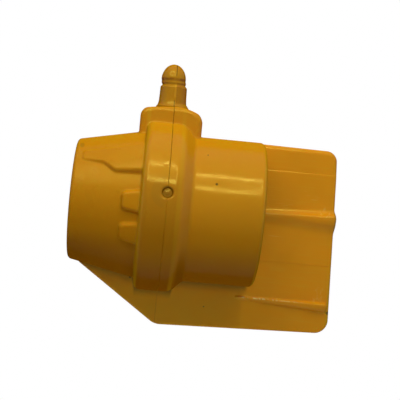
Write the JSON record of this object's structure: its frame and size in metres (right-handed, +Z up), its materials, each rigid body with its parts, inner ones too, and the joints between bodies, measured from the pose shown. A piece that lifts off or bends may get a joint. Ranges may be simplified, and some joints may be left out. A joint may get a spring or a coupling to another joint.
{
  "type": "fence insulator",
  "caption": "Flanged two-part barrel insulator with a through bore for the fence wire, a ribbed flat mounting blade behind it and a bullet-headed wire stud on top.",
  "frame": {"origin": "on the back face of the mounting blade, straight behind the point where the seam between the two shells crosses the barrel axis", "axes": "+X along the barrel from nose to free end of the blade, +Y out of the blade's back, so the front faces -Y, +Z up along the wire stud"},
  "size_m": [0.068, 0.0337, 0.066],
  "materials": {
    "amber_plastic": "glossy moulded polyethylene, amber yellow",
    "natural_plastic": "uncoloured low-friction plastic",
    "spring_steel": "bright stainless steel"
  },
  "bodies": {
    "mounting": {"mounting_blade": "amber_plastic", "rear_shell": "amber_plastic", "rear_end_disc": "amber_plastic", "rear_bush": "natural_plastic", "seam_pin": "amber_plastic", "blade_screws": "spring_steel"},
    "nose": {"nose_shell": "amber_plastic", "nose_end_disc": "amber_plastic", "nose_bush": "natural_plastic"},
    "tube": {"core_tube": "natural_plastic", "tube_clips": "spring_steel"},
    "stud": {"wire_stud": "amber_plastic"}
  },
  "joints": [
    {"name": "nose_pull", "type": "slide", "parent": "mounting", "child": "nose", "axis": [-1, 0, 0], "range_m": [0, 0.03]},
    {"name": "tube_spin", "type": "hinge", "parent": "mounting", "child": "tube", "pos_m": [0, -0.0127, 0], "axis": [1, 0, 0], "continuous": true},
    {"name": "stud_turn", "type": "hinge", "parent": "mounting", "child": "stud", "pos_m": [-0.0005, -0.0127, 0.0246], "axis": [0, 0, 1], "continuous": true}
  ]
}
